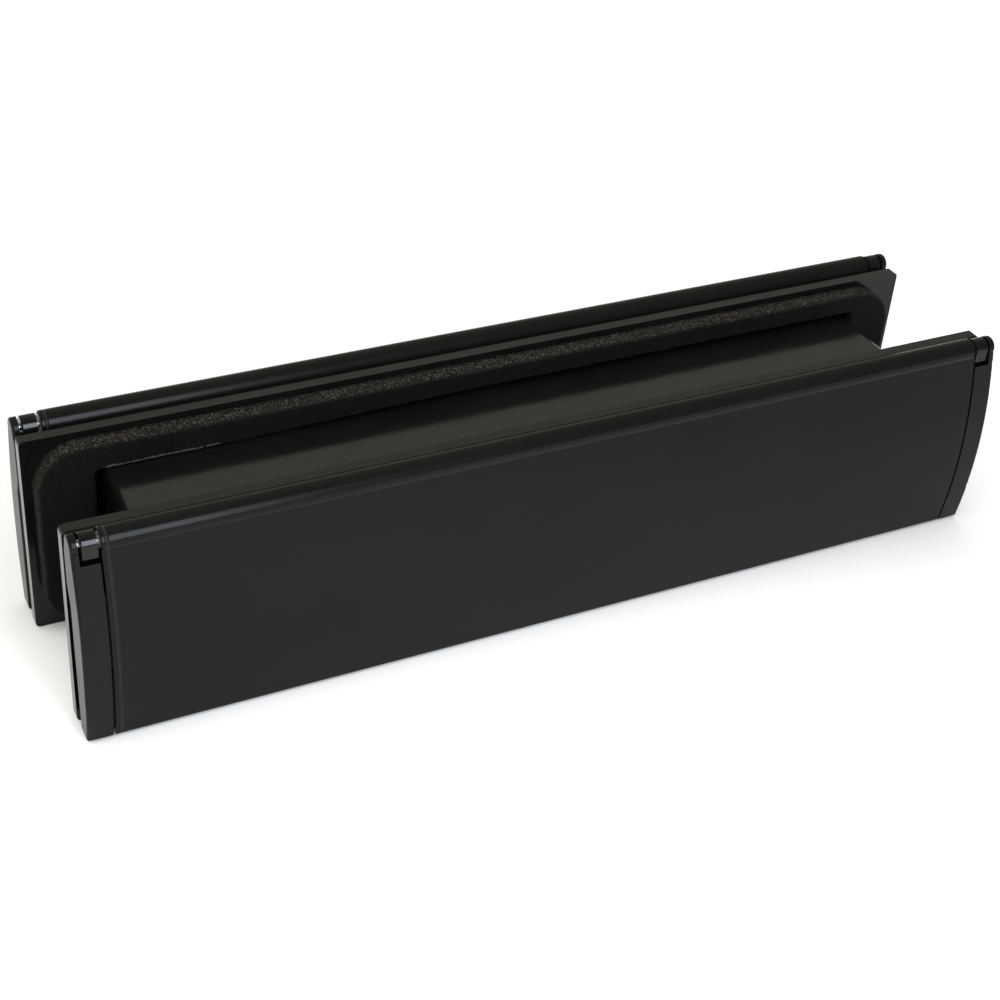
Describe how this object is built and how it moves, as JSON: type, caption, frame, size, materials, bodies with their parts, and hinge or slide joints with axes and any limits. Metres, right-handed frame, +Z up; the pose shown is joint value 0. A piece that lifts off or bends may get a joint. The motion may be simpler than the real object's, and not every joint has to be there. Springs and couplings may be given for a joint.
{
  "type": "telescopic letter plate",
  "caption": "Black letter plate for a door: sprung flap on each side, foam door gaskets and a telescopic sleeve that suits doors of different thickness.",
  "frame": {"origin": "centre of the letter plate at the level of the two plates' lower edges, midway between the plates' door sides", "axes": "+X along the plate's width, +Y through the door from the street side to the room side, +Z up"},
  "size_m": [0.31, 0.0758, 0.0711],
  "materials": {
    "frame_plastic": "semi-gloss moulded black",
    "sleeve_plastic": "gloss moulded black",
    "gasket_foam": "open-cell black foam",
    "seal_foam": "closed-cell black foam",
    "flap_paint": "satin black paint on extruded aluminium",
    "cap_plastic": "semi-gloss moulded black",
    "pin_steel": "plain ground steel",
    "bush_nylon": "natural nylon",
    "collar_brass": "turned brass",
    "spring_steel": "music wire",
    "bolt_zinc": "bright zinc plate"
  },
  "bodies": {
    "outer_half": {"outer_frame": "frame_plastic", "outer_sleeve": "sleeve_plastic", "outer_door_gasket": "gasket_foam", "outer_rim_seal": "seal_foam", "outer_hinge_pins": "pin_steel", "outer_spring_collars": "collar_brass", "outer_spring_left": "spring_steel", "outer_spring_right": "spring_steel", "bolt_inserts": "collar_brass"},
    "inner_half": {"inner_frame": "frame_plastic", "inner_sleeve": "sleeve_plastic", "inner_door_gasket": "gasket_foam", "inner_rim_seal": "seal_foam", "inner_hinge_pins": "pin_steel", "inner_spring_collars": "collar_brass", "inner_spring_left": "spring_steel", "inner_spring_right": "spring_steel", "fixing_bolts": "bolt_zinc"},
    "outer_flap_assembly": {"outer_flap": "flap_paint", "outer_cap_left": "cap_plastic", "outer_cap_right": "cap_plastic", "outer_hinge_bushes": "bush_nylon"},
    "inner_flap_assembly": {"inner_flap": "flap_paint", "inner_cap_left": "cap_plastic", "inner_cap_right": "cap_plastic", "inner_hinge_bushes": "bush_nylon"}
  },
  "joints": [
    {"name": "door_gap_slide", "type": "slide", "parent": "outer_half", "child": "inner_half", "axis": [0, 1, 0], "range_m": [-0.002, 0.028]},
    {"name": "outer_flap_hinge", "type": "hinge", "parent": "outer_half", "child": "outer_flap_assembly", "pos_m": [0, -0.0303, 0.0673], "axis": [-1, 0, 0], "range_deg": [0, 95], "stiffness_Nm_per_rad": 0.06, "springref_deg": -28.65},
    {"name": "inner_flap_hinge", "type": "hinge", "parent": "inner_half", "child": "inner_flap_assembly", "pos_m": [0, 0.0303, 0.0673], "axis": [1, 0, 0], "range_deg": [0, 95], "stiffness_Nm_per_rad": 0.06, "springref_deg": -28.65}
  ]
}
